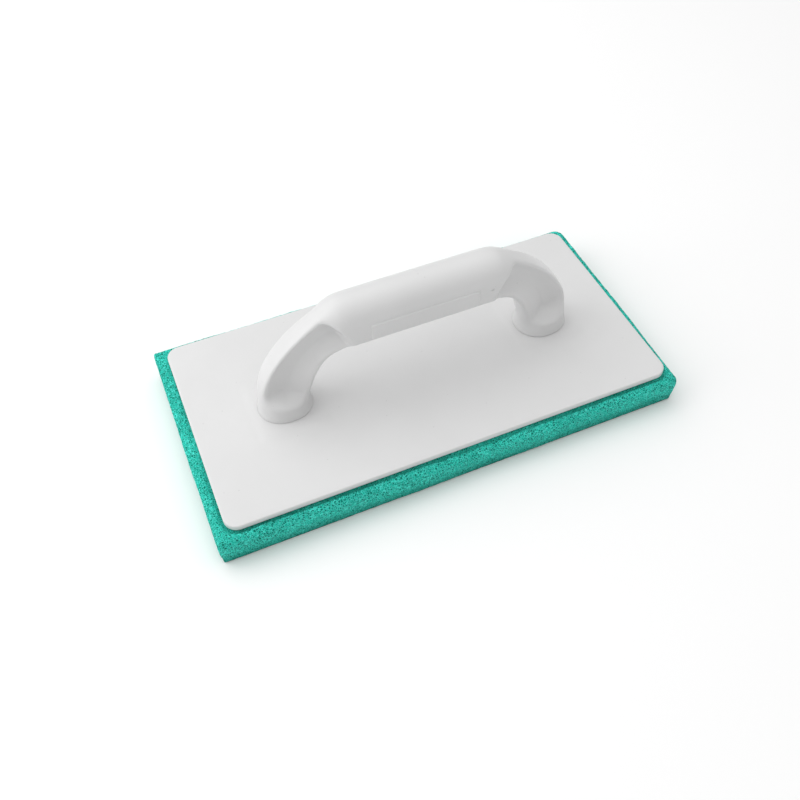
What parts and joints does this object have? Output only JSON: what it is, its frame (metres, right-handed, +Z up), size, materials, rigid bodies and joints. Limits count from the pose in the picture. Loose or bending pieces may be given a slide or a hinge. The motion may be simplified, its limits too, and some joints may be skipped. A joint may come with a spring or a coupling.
{
  "type": "grout float",
  "caption": "Sponge-faced hand float: a flat rectangular plastic board with a bridge handle on top and a thick open-cell foam pad glued underneath.",
  "frame": {"origin": "centre of the sponge's working face, the lowest face of the tool", "axes": "+Z up through the handle, +X along the length of the board and the handle, +Y across the board"},
  "size_m": [0.293, 0.149, 0.0968],
  "materials": {
    "sponge_foam": "open-cell foam, fine visible pores, matte",
    "contact_adhesive": "thin dried film, slightly glossy",
    "board_plastic": "white moulded plastic, fine matte texture",
    "handle_plastic": "white moulded plastic, satin, slightly smoother than the board",
    "screw_steel": "zinc plated"
  },
  "bodies": {
    "root": {"sponge_pad": "sponge_foam", "adhesive_layer": "contact_adhesive", "base_plate": "board_plastic", "handle": "handle_plastic", "screw_left_outer": "screw_steel", "screw_left_inner": "screw_steel", "screw_right_inner": "screw_steel", "screw_right_outer": "screw_steel"}
  },
  "joints": []
}
